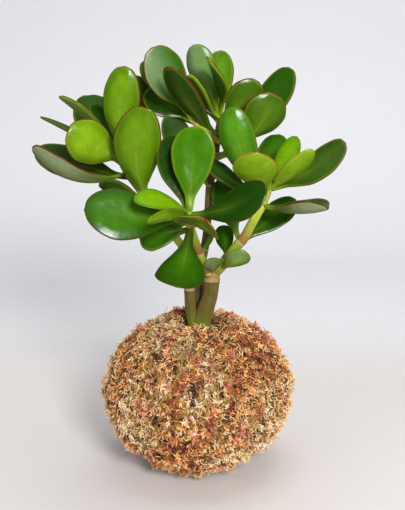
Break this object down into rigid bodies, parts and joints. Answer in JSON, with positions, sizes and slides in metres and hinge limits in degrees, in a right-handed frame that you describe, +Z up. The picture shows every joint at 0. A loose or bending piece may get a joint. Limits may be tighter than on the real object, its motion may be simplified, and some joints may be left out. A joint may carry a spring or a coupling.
{
  "type": "kokedama moss ball plant",
  "caption": "Jade plant with thick glossy leaves growing out of a round moss ball bound with thread; it stands free on a small flat foot under the ball.",
  "frame": {"origin": "centre of the flat foot under the moss ball, on the surface it stands on", "axes": "+Z up from the foot to the crown, -Y towards the front as pictured, +X to the viewer's right"},
  "size_m": [0.1851, 0.1323, 0.2593],
  "materials": {
    "moss": "dry curly moss strands, straw, orange brown and rust, matte",
    "soil": "dark damp soil, matte",
    "thread": "thin natural fibre thread, matte",
    "bark": "smooth olive brown bark with pale ring scars, satin",
    "green_stem": "smooth yellow green young stem, satin",
    "leaf": "waxy dark green leaf with a thin red brown edge, glossy",
    "young_leaf": "waxy bright yellow green leaf, glossy"
  },
  "bodies": {
    "root": {"moss_layer": "moss", "soil_core": "soil", "binding_thread": "thread", "woody_trunks": "bark", "branch_left": "green_stem", "branch_top": "green_stem", "branch_upper_right": "green_stem", "branch_right": "green_stem", "branch_front": "green_stem", "leaf_left_1": "leaf", "leaf_left_2": "leaf", "leaf_left_3": "leaf", "leaf_left_4": "leaf", "leaf_left_5": "leaf", "leaf_left_6": "leaf", "leaf_left_7": "leaf", "leaf_left_8": "leaf", "leaf_left_9": "leaf", "leaf_left_10": "leaf", "leaf_left_11": "leaf", "leaf_left_12": "leaf", "leaf_front_1": "leaf", "leaf_front_2": "young_leaf", "leaf_front_3": "young_leaf", "leaf_front_4": "young_leaf", "leaf_front_5": "leaf", "leaf_front_6": "leaf", "leaf_front_7": "leaf", "leaf_front_8": "leaf", "leaf_front_9": "leaf", "leaf_front_10": "leaf", "leaf_front_11": "leaf", "leaf_right_1": "leaf", "leaf_right_2": "leaf", "leaf_right_3": "leaf", "leaf_right_4": "leaf", "leaf_right_5": "leaf", "leaf_right_6": "leaf", "leaf_right_7": "young_leaf", "leaf_right_8": "young_leaf", "leaf_right_9": "young_leaf", "leaf_right_10": "leaf", "leaf_right_11": "leaf", "leaf_right_12": "leaf", "leaf_right_13": "leaf", "leaf_upper_1": "leaf", "leaf_upper_2": "leaf", "leaf_upper_3": "leaf", "leaf_top_1": "leaf", "leaf_top_2": "leaf", "leaf_top_3": "leaf", "leaf_top_4": "leaf", "leaf_top_5": "leaf", "leaf_top_6": "leaf", "leaf_top_7": "leaf", "leaf_top_8": "leaf", "leaf_top_9": "leaf", "leaf_top_10": "leaf", "leaf_centre_1": "leaf"}
  },
  "joints": []
}
